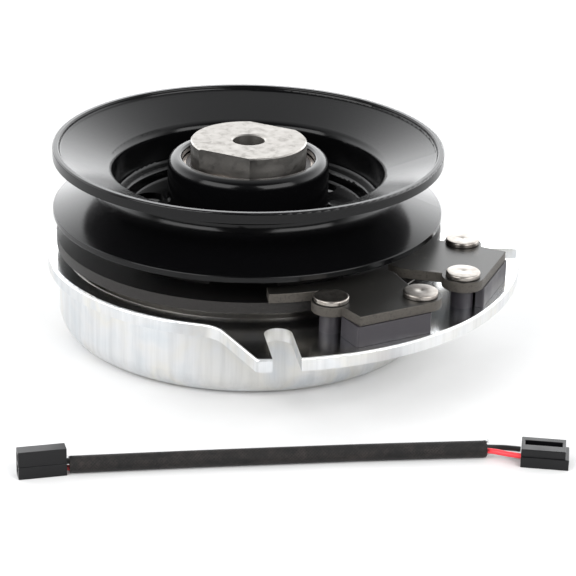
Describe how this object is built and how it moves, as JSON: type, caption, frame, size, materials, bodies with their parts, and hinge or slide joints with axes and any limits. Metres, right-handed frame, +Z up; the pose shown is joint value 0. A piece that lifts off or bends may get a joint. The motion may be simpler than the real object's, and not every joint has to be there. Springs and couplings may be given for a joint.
{
  "type": "electromagnetic clutch",
  "caption": "Mower deck electric clutch and brake: belt pulley over a field coil shell, brake plates on a slotted lobe, with a short adapter lead beside it.",
  "frame": {"origin": "on the shaft's axis, in the plane of the shell's bottom face, where the shaft enters the hub", "axes": "+Z up the shaft towards the spacer bushing; +X along one anti-rotation slot; the other slot is near -Y, and the brake lobe lies between them"},
  "size_m": [0.1884, 0.2232, 0.0732],
  "materials": {
    "zinc_plated_steel": "bright zinc plate, satin walls and sheared edges",
    "bare_steel": "turned bare steel",
    "ground_steel": "ground bearing steel",
    "burnished_plate": "dark oxide plate with sheared edges",
    "black_ecoat": "gloss black electrocoat",
    "magnet_black": "coated ceramic magnet",
    "rivet_steel": "bright nickel-plated steel",
    "friction_material": "moulded friction material",
    "seal_rubber": "nitrile rubber",
    "spring_steel": "blued spring steel",
    "copper_wire": "enamelled copper wire",
    "bobbin_nylon": "glass-filled nylon",
    "potting_resin": "cast epoxy",
    "socket_nylon": "moulded black nylon",
    "tinned_brass": "tinned contact brass",
    "braided_sleeve": "woven polyester sleeving",
    "red_insulation": "red PVC",
    "black_insulation": "black PVC"
  },
  "bodies": {
    "field": {"field_shell": "zinc_plated_steel", "field_core": "bare_steel", "coil_bobbin": "bobbin_nylon", "coil_winding": "copper_wire", "coil_potting": "potting_resin", "field_bearing_outer_ring": "ground_steel", "field_bearing_balls": "ground_steel", "field_bearing_seals": "seal_rubber", "field_bearing_retainer": "spring_steel", "supply_socket": "socket_nylon", "supply_blades": "tinned_brass", "brake_pole_plate_rear": "burnished_plate", "brake_pole_plate_front": "burnished_plate", "brake_magnet_rear": "magnet_black", "brake_magnet_front": "magnet_black", "brake_spacers": "magnet_black", "brake_rivets": "rivet_steel"},
    "rotor_assembly": {"rotor": "bare_steel", "friction_lining": "friction_material", "rotor_hub": "bare_steel", "spacer_bushing": "bare_steel", "field_bearing_inner_ring": "ground_steel", "pulley_bearing_inner_ring": "ground_steel", "hub_retainer": "spring_steel"},
    "pulley_assembly": {"pulley_body": "black_ecoat", "pulley_lower_flange": "black_ecoat", "bearing_cup": "black_ecoat", "pulley_bearing_outer_ring": "ground_steel", "pulley_bearing_balls": "ground_steel", "pulley_bearing_seals": "seal_rubber", "pulley_bearing_retainer": "spring_steel", "pulley_spring_rivets": "black_ecoat", "leaf_springs": "spring_steel"},
    "armature_assembly": {"armature_plate": "burnished_plate", "armature_rivets": "rivet_steel"},
    "lead": {"lead_sleeve": "braided_sleeve", "lead_wire_red": "red_insulation", "lead_wire_black": "black_insulation", "lead_plug_left": "socket_nylon", "lead_plug_right": "socket_nylon"}
  },
  "joints": [
    {"name": "rotor_spin", "type": "hinge", "parent": "field", "child": "rotor_assembly", "pos_m": [0, 0, 0.03], "axis": [0, 0, 1], "continuous": true},
    {"name": "pulley_spin", "type": "hinge", "parent": "field", "child": "pulley_assembly", "pos_m": [0, 0, 0.058], "axis": [0, 0, 1], "continuous": true},
    {"name": "armature_pull", "type": "slide", "parent": "pulley_assembly", "child": "armature_assembly", "axis": [0, 0, -1], "range_m": [0, 0.0004], "stiffness_N_per_m": 20000, "springref_m": -0.0006, "deforming": ["leaf_springs"]},
    {"name": "lead_aside", "type": "slide", "parent": "field", "child": "lead", "axis": [0, -1, 0], "range_m": [0, 0.1]}
  ]
}
